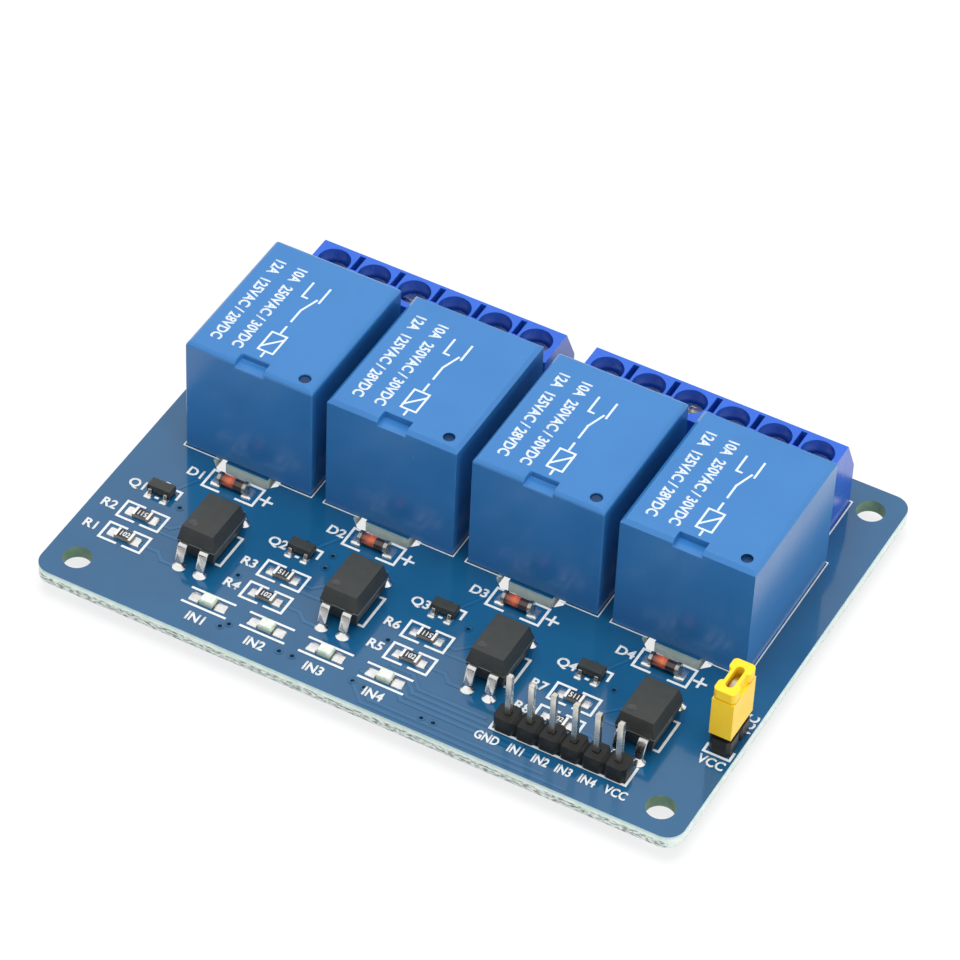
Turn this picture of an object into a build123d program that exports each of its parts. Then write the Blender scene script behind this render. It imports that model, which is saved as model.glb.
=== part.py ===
from build123d import *
import os

# Four-channel relay module board: a printed circuit board with four sugar-cube relays,
# two six-way screw terminal blocks along the back edge and the drive parts along the front.
# X runs along the long side, Y towards the terminals, Z up from the tips of the longest pins.
# All sizes are in millimetres.

# Circuit board
board_length = 76.0
board_width = 56.0
board_thickness = 1.6
board_corner_radius = 2.0
mount_hole_diameter = 3.2
mount_hole_inset = 3.5
pin_tail = 2.0
short_tail = 1.7
solder_gap = 0.1

# Channels: each relay, its diode, optocoupler, transistor and resistors repeat along X
channel_count = 4
channel_pitch = 17.27
channel_shift = 0.16

# Isolation slot milled round each relay's common pin
slot_width = 1.4
slot_reach = 3.3
slot_length = 4.5
slot_corner = 1.2
slot_ahead = 1.7

# Relay cover
relay_width = 15.5
relay_depth = 19.1
relay_height = 15.2
relay_front = -4.15
relay_wall = 0.9
relay_roof = 1.5
relay_edge = 0.45
notch_width = 3.4
notch_length = 1.6
notch_depth = 0.9
vent_diameter = 1.3
vent_depth = 0.5
vent_from_side = 1.8
vent_from_front = 1.6

# Relay base and pins
base_recess = 0.3
base_thickness = 1.6
base_fit = 0.05
common_from_front = 2.45
coil_pins_behind = 2.0
contact_from_back = 2.45
side_pin_reach = 6.0
blade_width = 1.0
blade_thickness = 0.5
coil_pin_size = 0.6

# Relay magnet and contacts
yoke_width = 7.6
yoke_thickness = 1.0
coil_width = 8.2
coil_depth = 8.0
flange_thickness = 0.7
flange_overhang = 0.5
winding_corner = 1.6
yoke_to_coil = 0.2
armature_width = 7.0
armature_thickness = 0.9
armature_lift = 0.15
pole_gap = 0.55
pole_reach = 2.0
leaf_width = 3.0
leaf_thickness = 0.25
contact_size = 1.6
contact_height = 0.4
contact_strip = 0.3
contact_swing = 1.2
contact_gap = 0.05

# Screw terminal blocks
terminal_pitch = 5.0
terminal_ways = 6
terminal_spacing = 33.64
terminal_front = 17.3
terminal_depth = 7.2
terminal_height = 10.1
terminal_top_depth = 5.05
terminal_shoulder = 5.7
well_diameter = 3.7
well_from_front = 2.65
chamber_width = 4.1
chamber_height = 6.5
chamber_behind_cage = 0.3
front_wall = 0.5
divider_slot_width = 0.7
divider_slot_length = 2.4
divider_slot_depth = 3.0
divider_slot_from_front = 3.5
entry_width = 3.5
entry_height = 3.7
entry_sill = 0.9

# Clamp cages, pins and screws of the terminals
cage_width = 3.9
cage_length = 3.0
cage_wall = 0.55
cage_floor = 0.6
cage_roof = 0.7
cage_rest = 0.7
wire_gap = 2.0
bar_width = 2.2
bar_thickness = 0.6
bar_clearance = 0.05
bar_overhang = 1.5
leg_thickness = 0.45
terminal_pin_width = 1.0
screw_head_diameter = 3.2
screw_head_height = 1.0
screw_head_depth = 1.7
screw_shank_diameter = 2.4
screw_slot_width = 0.6
screw_cross_length = 2.2
screw_slot_depth = 0.5
thread_clearance = 0.05
thread_sides = 8

# Optocouplers in four-lead through-hole packages
opto_shift = 2.385
opto_y = -15.7
opto_width = 4.6
opto_length = 6.5
opto_height = 3.9
opto_standoff = 0.5
opto_taper = 12.0
lead_row_spacing = 9.0
lead_pitch = 2.54
lead_shoulder_width = 1.05
lead_width = 0.55
lead_thickness = 0.3
lead_shoulder_foot = 0.7
lead_knee = 0.45

# Transistors in three-lead surface packages
transistor_shift = -6.2
transistor_y = -11.7
transistor_length = 2.9
transistor_width = 1.4
transistor_height = 1.0
transistor_standoff = 0.1
transistor_taper = 8.0
gull_pitch = 1.9
gull_width = 0.42
gull_thickness = 0.15
gull_reach = 0.55
gull_foot = 0.35
gull_exit = 0.55

# Chip resistors, two rows per channel
resistor_shift = -6.0
resistor_rows = (-15.88, -19.5)
resistor_length = 2.0
resistor_width = 1.25
resistor_height = 0.55
resistor_cap_length = 0.4
resistor_cap_lip = 0.06

# Glass diodes lying in front of the relays
diode_y = -7.27
diode_length = 3.5
diode_diameter = 1.45

# Indicator lamps along the front edge
lamp_first_x = -19.2
lamp_pitch = 7.05
lamp_y = -23.2
lamp_length = 2.0
lamp_width = 1.25
lamp_base_height = 0.35
lamp_lens_length = 1.4
lamp_lens_height = 0.5
lamp_lens_slope = 0.1

# Pin headers and the jumper
header_pitch = 2.54
header_ways = 6
header_x = 22.3
header_y = -22.6
header_base_width = 2.5
header_base_height = 2.0
header_corner = 0.45
header_pin_size = 0.64
header_pin_rise = 7.6
header_pin_tip = 0.15
pin_fit = 0.03
jumper_x = 36.2
jumper_y = -12.66
jumper_ways = 2
cap_width = 2.5
cap_length = 5.0
cap_seat_gap = 0.6
cap_body_height = 5.1
cap_neck_height = 0.25
cap_neck_inset = 0.3
cap_lobe_height = 1.2
cap_lobe_length = 1.65
cap_lobe_corner = 0.5
cap_waist_width = 1.7
cap_keyhole_width = 0.95
cap_keyhole_length = 3.2
cap_wall = 0.45
clip_wall = 0.25
clip_height = 4.6
clip_fit = 0.05

# Places worked out from the sizes above
board_bottom = pin_tail
board_top = board_bottom + board_thickness
channels = [channel_shift + channel_pitch * (n - (channel_count - 1) / 2) for n in range(channel_count)]
board_face = Plane.XY.offset(board_top)
os.makedirs("parts", exist_ok=True)


def write(builder, name):
    """Label a finished piece and write it to its own file."""
    builder.part.label = name
    export_step(builder.part, f"parts/{name}.step")


# Relay places: pin rows behind the front face and heights above the board
relay_y = relay_front + relay_depth / 2
common_y = relay_front + common_from_front
coil_pin_y = common_y + coil_pins_behind
contact_y = relay_front + relay_depth - contact_from_back
base_top = base_recess + base_thickness
cavity_top = relay_height - relay_roof
closed_contact_underside = cavity_top - base_fit - contact_strip
leaf_underside = closed_contact_underside - contact_gap - contact_height - leaf_thickness
armature_underside = leaf_underside - armature_thickness
yoke_top = armature_underside - armature_lift
pole_face = armature_underside - pole_gap
open_contact_top = leaf_underside - contact_height - contact_swing
coil_floor = base_top + yoke_thickness
coil_front = common_y + yoke_thickness / 2 + yoke_to_coil
coil_y = coil_front + coil_depth / 2
common_places = [(x, common_y) for x in channels]
coil_pin_places = [(x + side * side_pin_reach, coil_pin_y) for x in channels for side in (-1, 1)]
closed_contact_places = [(x - side_pin_reach, contact_y) for x in channels]
open_contact_places = [(x + side_pin_reach, contact_y) for x in channels]

# Terminal places: blocks either side of the middle, ways along each block
terminal_length = terminal_pitch * terminal_ways
block_places = [channel_shift - terminal_spacing / 2, channel_shift + terminal_spacing / 2]
way_places = [terminal_pitch * (n - (terminal_ways - 1) / 2) for n in range(terminal_ways)]
terminal_ways_x = [block + way for block in block_places for way in way_places]
well_y = terminal_front + well_from_front
cage_front = well_y - cage_length / 2
leg_y = terminal_front + front_wall + leg_thickness / 2
bar_underside = cage_rest + cage_floor + wire_gap
bar_top = bar_underside + bar_thickness
cage_height = cage_floor + wire_gap + bar_thickness + bar_clearance + cage_roof

# Lead places of the optocouplers, and pin places of the two headers
opto_places = [(x + opto_shift, opto_y) for x in channels]
lead_places = [
    (x + side * lead_pitch / 2, y + row * lead_row_spacing / 2)
    for x, y in opto_places
    for side in (-1, 1)
    for row in (-1, 1)
]
header_pins = [(header_x + header_pitch * (n - (header_ways - 1) / 2), header_y) for n in range(header_ways)]
jumper_pins = [(jumper_x, jumper_y + header_pitch * (n - (jumper_ways - 1) / 2)) for n in range(jumper_ways)]


# Isolation slot: a U with cut corners, open towards the relay's middle
with BuildSketch() as isolation_slot:
    Rectangle(2 * slot_reach + slot_width, slot_length, align=(Align.CENTER, Align.MIN))
    chamfer(isolation_slot.vertices().group_by(Axis.Y)[0], slot_corner)
    with Locations((0, slot_width)):
        Rectangle(
            2 * slot_reach - slot_width,
            slot_length - slot_width,
            align=(Align.CENTER, Align.MIN),
            mode=Mode.SUBTRACT,
        )

# Circuit board: fibreglass laminate with mounting holes, isolation slots and a hole for every pin
with BuildPart() as circuit_board:
    with BuildSketch(Plane.XY.offset(board_bottom)):
        RectangleRounded(board_length, board_width, board_corner_radius)
        with GridLocations(board_length - 2 * mount_hole_inset, board_width - 2 * mount_hole_inset, 2, 2):
            Circle(mount_hole_diameter / 2, mode=Mode.SUBTRACT)
        with Locations(*[(x, relay_front - slot_ahead) for x in channels]):
            add(isolation_slot.sketch, mode=Mode.SUBTRACT)
        with Locations(*common_places):
            Rectangle(blade_width + 2 * solder_gap, blade_thickness + 2 * solder_gap, mode=Mode.SUBTRACT)
        with Locations(*coil_pin_places):
            Rectangle(coil_pin_size + 2 * solder_gap, coil_pin_size + 2 * solder_gap, mode=Mode.SUBTRACT)
        with Locations(*closed_contact_places, *open_contact_places):
            Rectangle(blade_thickness + 2 * solder_gap, blade_width + 2 * solder_gap, mode=Mode.SUBTRACT)
        with Locations(*[(x, leg_y) for x in terminal_ways_x]):
            Rectangle(terminal_pin_width + 2 * solder_gap, leg_thickness + 2 * solder_gap, mode=Mode.SUBTRACT)
        with Locations(*lead_places):
            Rectangle(lead_width + 2 * solder_gap, lead_thickness + 2 * solder_gap, mode=Mode.SUBTRACT)
        with Locations(*header_pins, *jumper_pins):
            Rectangle(header_pin_size + 2 * solder_gap, header_pin_size + 2 * solder_gap, mode=Mode.SUBTRACT)
    extrude(amount=board_thickness)
write(circuit_board, "circuit_board")

# Relay covers: moulded boxes open below, with bevelled top edges, a notch in the front edge and a vent dimple
for number, x in enumerate(channels, start=1):
    relay_seat = Plane((x, relay_y, board_top))
    with BuildPart() as relay_cover:
        with BuildSketch(relay_seat):
            Rectangle(relay_width, relay_depth)
        extrude(amount=relay_height)
        chamfer(relay_cover.faces().sort_by(Axis.Z)[-1].edges(), relay_edge)
        with BuildSketch(relay_seat):
            Rectangle(relay_width - 2 * relay_wall, relay_depth - 2 * relay_wall)
        extrude(amount=cavity_top, mode=Mode.SUBTRACT)
        with BuildSketch(relay_seat.offset(relay_height)):
            with Locations((0, -relay_depth / 2)):
                Rectangle(notch_width, notch_length, align=(Align.CENTER, Align.MIN))
        extrude(amount=-notch_depth, mode=Mode.SUBTRACT)
        with BuildSketch(relay_seat.offset(relay_height)):
            with Locations((relay_width / 2 - vent_from_side, vent_from_front - relay_depth / 2)):
                Circle(vent_diameter / 2)
        extrude(amount=-vent_depth, mode=Mode.SUBTRACT)
    write(relay_cover, f"relay_cover_{number}")

# Relay bases: plates pushed into the covers from below, pierced by the five pins
with BuildPart() as relay_bases:
    with BuildSketch(board_face.offset(base_recess)):
        with Locations(*[(x, relay_y) for x in channels]):
            Rectangle(relay_width - 2 * (relay_wall + base_fit), relay_depth - 2 * (relay_wall + base_fit))
        with Locations(*common_places):
            Rectangle(blade_width + 2 * pin_fit, blade_thickness + 2 * pin_fit, mode=Mode.SUBTRACT)
        with Locations(*coil_pin_places):
            Rectangle(coil_pin_size + 2 * pin_fit, coil_pin_size + 2 * pin_fit, mode=Mode.SUBTRACT)
        with Locations(*closed_contact_places, *open_contact_places):
            Rectangle(blade_thickness + 2 * pin_fit, blade_width + 2 * pin_fit, mode=Mode.SUBTRACT)
    extrude(amount=base_thickness)
write(relay_bases, "relay_bases")

# Relay yokes: L-shaped iron strips that carry the coil and the armature's pivot edge
with BuildPart() as relay_yokes:
    for x in channels:
        with BuildSketch(Plane.YZ.offset(x - yoke_width / 2)):
            with Locations((common_y, board_top + base_top)):
                Rectangle(yoke_thickness, yoke_top - base_top, align=(Align.CENTER, Align.MIN))
            with Locations((common_y - yoke_thickness / 2, board_top + base_top)):
                Rectangle(coil_y - common_y + coil_depth / 2, yoke_thickness, align=(Align.MIN, Align.MIN))
        extrude(amount=yoke_width)
write(relay_yokes, "relay_yokes")

# Relay coils: a flanged bobbin wound full of wire, standing on the yoke round its core
with BuildPart() as relay_coils:
    coil_places = [(x, coil_y) for x in channels]
    with BuildSketch(board_face.offset(coil_floor), board_face.offset(pole_face - flange_thickness)):
        with Locations(*coil_places):
            Rectangle(coil_width, coil_depth)
    extrude(amount=flange_thickness)
    with BuildSketch(board_face.offset(coil_floor + flange_thickness)) as winding_plan:
        with Locations(*coil_places):
            Rectangle(coil_width - 2 * flange_overhang, coil_depth - 2 * flange_overhang)
        chamfer(winding_plan.vertices(), winding_corner)
    extrude(amount=pole_face - coil_floor - 2 * flange_thickness)
write(relay_coils, "relay_coils")

# Relay armatures: iron plates rocking on the yoke's top edge, each with a leaf that carries the moving contact
for number, x in enumerate(channels, start=1):
    with BuildPart() as relay_armature:
        with BuildSketch(Plane((x, common_y - yoke_thickness / 2, board_top + armature_underside))):
            plate_length = coil_y - common_y + yoke_thickness / 2 + pole_reach
            Rectangle(armature_width, plate_length, align=(Align.CENTER, Align.MIN))
        extrude(amount=armature_thickness)
        with BuildSketch(Plane((x, coil_y, board_top + leaf_underside))):
            Rectangle(leaf_width, contact_y - coil_y + contact_size / 2, align=(Align.CENTER, Align.MIN))
        extrude(amount=leaf_thickness)
        with BuildSketch(Plane((x, contact_y, board_top + leaf_underside - contact_height))):
            Rectangle(contact_size, contact_size)
        extrude(amount=2 * contact_height + leaf_thickness)
    write(relay_armature, f"relay_armature_{number}")


def fixed_contacts(side, underside):
    """Fixed contacts of all relays: a blade from each pin up to a strip across the moving contact."""
    strip_length = side_pin_reach + (contact_size + blade_thickness) / 2
    strip_align = Align.MIN if side < 0 else Align.MAX
    with BuildPart() as contacts:
        for x in channels:
            blade_x = x + side * side_pin_reach
            with BuildSketch(Plane.XZ.offset(-contact_y - blade_width / 2)):
                with Locations((blade_x, board_bottom - short_tail)):
                    rise = board_thickness + short_tail + underside + contact_strip
                    Rectangle(blade_thickness, rise, align=(Align.CENTER, Align.MIN))
                with Locations((blade_x + side * blade_thickness / 2, board_top + underside)):
                    Rectangle(strip_length, contact_strip, align=(strip_align, Align.MIN))
            extrude(amount=blade_width)
    return contacts


# Normally closed contacts reach over the moving contacts, normally open contacts reach under them
write(fixed_contacts(-1, closed_contact_underside), "relay_closed_contacts")
write(fixed_contacts(1, open_contact_top - contact_strip), "relay_open_contacts")

# Common pins, welded under the yokes
with BuildPart() as relay_common_pins:
    with BuildSketch(Plane.XY.offset(board_bottom - short_tail)):
        with Locations(*common_places):
            Rectangle(blade_width, blade_thickness)
    extrude(amount=short_tail + board_thickness + base_top)
write(relay_common_pins, "relay_common_pins")

# Coil pins, standing in the base beside the coil
with BuildPart() as relay_coil_pins:
    with BuildSketch(Plane.XY.offset(board_bottom - short_tail)):
        with Locations(*coil_pin_places):
            Rectangle(coil_pin_size, coil_pin_size)
    extrude(amount=short_tail + board_thickness + base_top + coil_pin_size)
write(relay_coil_pins, "relay_coil_pins")

# Terminal blocks: one moulding each, with screw wells on top, wire entries at the back and cage chambers below
for name, block_x in zip(("terminal_block_left", "terminal_block_right"), block_places):
    block_end = block_x - terminal_length / 2
    with BuildPart() as terminal_block:
        with BuildSketch(Plane.YZ.offset(block_end)):
            with BuildLine():
                Polyline(
                    (terminal_front, board_top),
                    (terminal_front + terminal_depth, board_top),
                    (terminal_front + terminal_depth, board_top + terminal_shoulder),
                    (terminal_front + terminal_top_depth, board_top + terminal_height),
                    (terminal_front, board_top + terminal_height),
                    close=True,
                )
            make_face()
        extrude(amount=terminal_length)
        ways = [(block_x + way, well_y) for way in way_places]
        with BuildSketch(board_face):
            with Locations(*[(x, terminal_front + front_wall) for x, _ in ways]):
                chamber_length = cage_front + cage_length + chamber_behind_cage - terminal_front - front_wall
                Rectangle(chamber_width, chamber_length, align=(Align.CENTER, Align.MIN))
        extrude(amount=chamber_height, mode=Mode.SUBTRACT)
        with BuildSketch(board_face.offset(terminal_height)):
            with Locations(*ways):
                Circle(well_diameter / 2)
        extrude(amount=chamber_height - terminal_height, mode=Mode.SUBTRACT)
        with BuildSketch(Plane.XZ.offset(-terminal_front - terminal_depth)):
            with Locations(*[(x, board_top + entry_sill) for x, _ in ways]):
                Rectangle(entry_width, entry_height, align=(Align.CENTER, Align.MIN))
        extrude(amount=terminal_front + terminal_depth - well_y, mode=Mode.SUBTRACT)
        with BuildSketch(board_face.offset(terminal_height)):
            divider_y = terminal_front + divider_slot_from_front
            with Locations(*[(x + terminal_pitch / 2, divider_y) for x, _ in ways[:-1]]):
                Rectangle(divider_slot_width, divider_slot_length)
        extrude(amount=-divider_slot_depth, mode=Mode.SUBTRACT)
    write(terminal_block, name)

# Terminal pins: a clamping bar inside each cage, bent down in front of it into a solder pin
with BuildPart() as terminal_pins:
    for x in terminal_ways_x:
        with BuildSketch(Plane.YZ.offset(x - bar_width / 2)):
            with Locations((leg_y, board_top)):
                Rectangle(leg_thickness, bar_top, align=(Align.CENTER, Align.MIN))
            with Locations((leg_y - leg_thickness / 2, board_top + bar_underside)):
                bar_length = well_y + bar_overhang - leg_y + leg_thickness / 2
                Rectangle(bar_length, bar_thickness, align=(Align.MIN, Align.MIN))
        extrude(amount=bar_width)
    with BuildSketch(Plane.XY):
        with Locations(*[(x, leg_y) for x in terminal_ways_x]):
            Rectangle(terminal_pin_width, leg_thickness)
    extrude(amount=board_top)
write(terminal_pins, "terminal_pins")

# Clamp cages: square metal loops round the bars, lifted by the screws to grip the wires
for number, x in enumerate(terminal_ways_x, start=1):
    cage_foot = board_top + cage_rest
    with BuildPart() as terminal_cage:
        with BuildSketch(Plane.XZ.offset(-cage_front)):
            with Locations((x, cage_foot)):
                Rectangle(cage_width, cage_height, align=(Align.CENTER, Align.MIN))
            with Locations((x, cage_foot + cage_floor)):
                Rectangle(
                    cage_width - 2 * cage_wall,
                    cage_height - cage_floor - cage_roof,
                    align=(Align.CENTER, Align.MIN),
                    mode=Mode.SUBTRACT,
                )
        extrude(amount=-cage_length)
        with BuildSketch(Plane.XY.offset(cage_foot + cage_height)):
            with Locations((x, well_y)):
                RegularPolygon(screw_shank_diameter / 2 + thread_clearance, thread_sides, major_radius=False)
        extrude(amount=-cage_roof, mode=Mode.SUBTRACT)
    write(terminal_cage, f"terminal_cage_{number:02d}")

# Terminal screws: heads with a slot and a cross down in the wells, shanks through the cages to the bars
for number, x in enumerate(terminal_ways_x, start=1):
    head_top = board_top + terminal_height - screw_head_depth
    with BuildPart() as terminal_screw:
        with BuildSketch(Plane((x, well_y, head_top))):
            Circle(screw_head_diameter / 2)
        extrude(amount=-screw_head_height)
        with BuildSketch(Plane((x, well_y, board_top + bar_top + bar_clearance))):
            RegularPolygon(screw_shank_diameter / 2, thread_sides)
        extrude(amount=head_top - screw_head_height - board_top - bar_top - bar_clearance)
        with BuildSketch(Plane((x, well_y, head_top))):
            Rectangle(screw_head_diameter, screw_slot_width)
            Rectangle(screw_slot_width, screw_cross_length)
        extrude(amount=-screw_slot_depth, mode=Mode.SUBTRACT)
    write(terminal_screw, f"terminal_screw_{number:02d}")

# Optocouplers: black bodies that taper up and down from the moulding's parting line
opto_parting = board_top + opto_standoff + opto_height / 2
for number, (x, y) in enumerate(opto_places, start=1):
    with BuildPart() as optocoupler:
        with BuildSketch(Plane((x, y, opto_parting))):
            Rectangle(opto_width, opto_length)
        extrude(amount=opto_height / 2, both=True, taper=opto_taper)
    write(optocoupler, f"optocoupler_{number}")

# Optocoupler leads: wide shoulders out of the parting line, splayed down and narrowed through the board
with BuildPart() as optocoupler_leads:
    shoulder_foot = board_top + lead_shoulder_foot
    exit_low = opto_parting - lead_thickness / 2
    exit_high = opto_parting + lead_thickness / 2
    for x, y in opto_places:
        for row in (-1, 1):
            body_face = y + row * opto_length / 2
            knee_inside = body_face + row * lead_knee
            pin_inside = y + row * (lead_row_spacing - lead_thickness) / 2
            for side in (-1, 1):
                with BuildSketch(Plane.YZ.offset(x + side * lead_pitch / 2 - lead_shoulder_width / 2)):
                    with BuildLine():
                        Polyline(
                            (body_face, exit_low),
                            (knee_inside, exit_low),
                            (pin_inside, shoulder_foot),
                            (pin_inside + row * lead_thickness, shoulder_foot),
                            (knee_inside + row * lead_thickness, exit_low),
                            (knee_inside, exit_high),
                            (body_face, exit_high),
                            close=True,
                        )
                    make_face()
                extrude(amount=lead_shoulder_width)
    with BuildSketch(Plane.XY.offset(board_bottom - short_tail)):
        with Locations(*lead_places):
            Rectangle(lead_width, lead_thickness)
    extrude(amount=short_tail + board_thickness + lead_shoulder_foot)
write(optocoupler_leads, "optocoupler_leads")

# Transistors: small black bodies that taper up and down from their leads
transistor_parting = board_top + transistor_standoff + transistor_height / 2
with BuildPart() as transistors:
    with BuildSketch(Plane.XY.offset(transistor_parting)):
        with Locations(*[(x + transistor_shift, transistor_y) for x in channels]):
            Rectangle(transistor_length, transistor_width)
    extrude(amount=transistor_height / 2, both=True, taper=transistor_taper)
write(transistors, "transistors")

# Transistor leads: gull wings, two towards the front and one towards the back
with BuildPart() as transistor_leads:
    for x in channels:
        for side, row in ((-1, -1), (1, -1), (0, 1)):
            lead_x = x + transistor_shift + side * gull_pitch / 2
            wing_root = transistor_y + row * transistor_width / 2
            wing_knee = wing_root + row * (gull_reach - gull_foot)
            wing_tip = wing_root + row * gull_reach
            exit_low = board_top + gull_exit
            with BuildSketch(Plane.YZ.offset(lead_x - gull_width / 2)):
                with BuildLine():
                    Polyline(
                        (wing_root, exit_low),
                        (wing_knee, board_top),
                        (wing_tip, board_top),
                        (wing_tip, board_top + gull_thickness),
                        (wing_knee + row * gull_thickness, board_top + gull_thickness),
                        (wing_root + row * gull_thickness, exit_low + gull_thickness),
                        (wing_root, exit_low + gull_thickness),
                        close=True,
                    )
                make_face()
            extrude(amount=gull_width)
write(transistor_leads, "transistor_leads")

# Chip resistors: flat ceramic bricks with raised metal caps at both ends
with BuildPart() as resistors:
    for x in channels:
        for row_y in resistor_rows:
            brick = Plane((x + resistor_shift, row_y, board_top))
            with BuildSketch(brick):
                Rectangle(resistor_length, resistor_width)
            extrude(amount=resistor_height)
            with BuildSketch(brick.offset(resistor_height)):
                Rectangle(resistor_length - 2 * resistor_cap_length, resistor_width)
            extrude(amount=-resistor_cap_lip, mode=Mode.SUBTRACT)
write(resistors, "resistors")

# Diodes: glass cylinders with metal end caps, lying along X
with BuildPart() as diodes:
    for x in channels:
        with BuildSketch(Plane.YZ.offset(x - diode_length / 2)):
            with Locations((diode_y, board_top + diode_diameter / 2)):
                Circle(diode_diameter / 2)
        extrude(amount=diode_length)
write(diodes, "diodes")

# Indicator lamps: flat bases with a clear moulded block on each
lamp_places = [lamp_first_x + lamp_pitch * n for n in range(channel_count)]
with BuildPart() as indicator_lamps:
    for x in lamp_places:
        with BuildSketch(Plane.XZ.offset(-lamp_y - lamp_width / 2)):
            with Locations((x, board_top)):
                Rectangle(lamp_length, lamp_base_height, align=(Align.CENTER, Align.MIN))
            lens_foot = board_top + lamp_base_height
            lens_top = lens_foot + lamp_lens_height
            half_lens = lamp_lens_length / 2
            with BuildLine():
                Polyline(
                    (x - half_lens, lens_foot),
                    (x + half_lens, lens_foot),
                    (x + half_lens - lamp_lens_slope, lens_top),
                    (x - half_lens + lamp_lens_slope, lens_top),
                    close=True,
                )
            make_face()
        extrude(amount=lamp_width)
write(indicator_lamps, "indicator_lamps")


def header_base(places, along_x):
    """The moulded strip of a pin header: one block with cut corners for each pin, on the board."""
    block_length = header_pitch if along_x else header_base_width
    block_width = header_base_width if along_x else header_pitch
    with BuildSketch() as block_plan:
        Rectangle(block_length, block_width)
        chamfer(block_plan.vertices(), header_corner)
    with BuildPart() as strip:
        with BuildSketch(board_face):
            with Locations(*places):
                add(block_plan.sketch)
                hole = header_pin_size + 2 * pin_fit
                Rectangle(hole, hole, mode=Mode.SUBTRACT)
        extrude(amount=header_base_height)
    return strip


def header_pin_set(places):
    """Square pins of a header, tapered at the upper tip."""
    with BuildPart() as pins:
        with BuildSketch(Plane.XY):
            with Locations(*places):
                Rectangle(header_pin_size, header_pin_size)
        extrude(amount=board_top + header_pin_rise)
        chamfer(pins.faces().group_by(Axis.Z)[-1].edges(), header_pin_tip)
    return pins


# Six-way input header along the front edge
write(header_base(header_pins, True), "input_header_base")
write(header_pin_set(header_pins), "input_header_pins")

# Two-way jumper header beside the right edge
write(header_base(jumper_pins, False), "jumper_header_base")
write(header_pin_set(jumper_pins), "jumper_header_pins")

# Jumper cap: a moulded sleeve over both pins, with a neck and two finger lobes on top
cap_foot = board_top + header_base_height + cap_seat_gap
lobe_foot = cap_foot + cap_body_height + cap_neck_height
with BuildPart() as jumper_cap:
    cap_plane = Plane((jumper_x, jumper_y, cap_foot))
    with BuildSketch(cap_plane):
        Rectangle(cap_width, cap_length)
    extrude(amount=cap_body_height)
    with BuildSketch(cap_plane.offset(cap_body_height)):
        Rectangle(cap_width - 2 * cap_neck_inset, cap_length - 2 * cap_neck_inset)
    extrude(amount=cap_neck_height)
    with BuildSketch(Plane((jumper_x, jumper_y, lobe_foot))) as lobe_plan:
        with GridLocations(0, cap_length - cap_lobe_length, 1, 2):
            Rectangle(cap_width, cap_lobe_length)
        fillet(lobe_plan.vertices(), cap_lobe_corner)
        Rectangle(cap_waist_width, cap_length - cap_lobe_length)
    extrude(amount=cap_lobe_height)
    with BuildSketch(cap_plane):
        Rectangle(cap_width - 2 * cap_wall, cap_length - 2 * cap_wall)
    extrude(amount=cap_body_height, mode=Mode.SUBTRACT)
    with BuildSketch(cap_plane.offset(cap_body_height)):
        SlotOverall(cap_keyhole_length, cap_keyhole_width, rotation=90)
    extrude(amount=cap_neck_height + cap_lobe_height, mode=Mode.SUBTRACT)
write(jumper_cap, "jumper_cap")

# Jumper clip: a folded strip inside the cap that bridges the two pins
with BuildPart() as jumper_clip:
    with BuildSketch(cap_plane.offset(clip_fit)):
        Rectangle(cap_width - 2 * (cap_wall + clip_fit), cap_length - 2 * (cap_wall + clip_fit))
        clip_inset = cap_wall + clip_fit + clip_wall
        Rectangle(cap_width - 2 * clip_inset, cap_length - 2 * clip_inset, mode=Mode.SUBTRACT)
    extrude(amount=clip_height)
write(jumper_clip, "jumper_clip")
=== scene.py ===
import math

import bpy
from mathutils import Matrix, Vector


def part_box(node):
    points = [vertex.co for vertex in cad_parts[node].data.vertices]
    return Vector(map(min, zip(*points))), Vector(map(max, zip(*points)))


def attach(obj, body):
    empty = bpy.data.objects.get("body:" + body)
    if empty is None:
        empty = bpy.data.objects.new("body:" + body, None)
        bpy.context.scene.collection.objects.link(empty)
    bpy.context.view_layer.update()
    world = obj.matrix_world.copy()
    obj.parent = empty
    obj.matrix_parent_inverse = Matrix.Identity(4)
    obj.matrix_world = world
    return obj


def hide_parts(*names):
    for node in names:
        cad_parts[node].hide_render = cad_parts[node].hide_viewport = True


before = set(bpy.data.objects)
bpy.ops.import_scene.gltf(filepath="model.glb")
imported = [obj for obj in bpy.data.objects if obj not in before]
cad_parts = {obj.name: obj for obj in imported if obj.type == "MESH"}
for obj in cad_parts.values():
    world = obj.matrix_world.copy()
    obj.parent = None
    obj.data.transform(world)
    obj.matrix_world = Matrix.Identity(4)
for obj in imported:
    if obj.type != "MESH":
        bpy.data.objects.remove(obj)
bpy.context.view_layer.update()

mm = 0.001

# Circuit board
# A sheet of glass-fibre laminate under a glossy blue solder mask, milled to its outline with an
# isolation slot under each relay, and drilled for four screws. Its front edge was snapped from a
# scored panel, so the lower half of that edge is rough.
board_low, board_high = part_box("circuit_board")
board_top = board_high.z
board_bottom = board_low.z
weld_distance = 0.002 * mm
grain_height = 0.02 * mm
patch_ends, torn_ends = (0.3, 0.7), (0.44, 0.62)
flat_from = 0.9
mask_blue = (0.0055, 0.080, 0.190)
mask_blue_thin = (0.0075, 0.094, 0.215)
laminate_pale = (0.84, 0.92, 0.87)
laminate_green = (0.68, 0.80, 0.74)
laminate_stained = (0.20, 0.38, 0.44)
stain_depth, stain_strength = 0.5 * mm, 0.7
snapped_grey = (0.17, 0.20, 0.19)
snapped_height, snapped_depth = 0.9 * mm, 0.3 * mm
drilled_green = (0.19, 0.33, 0.24)
drilled_olive = (0.13, 0.235, 0.145)
screw_hole_inset, screw_hole_reach = 3.5 * mm, 1.8 * mm


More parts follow.
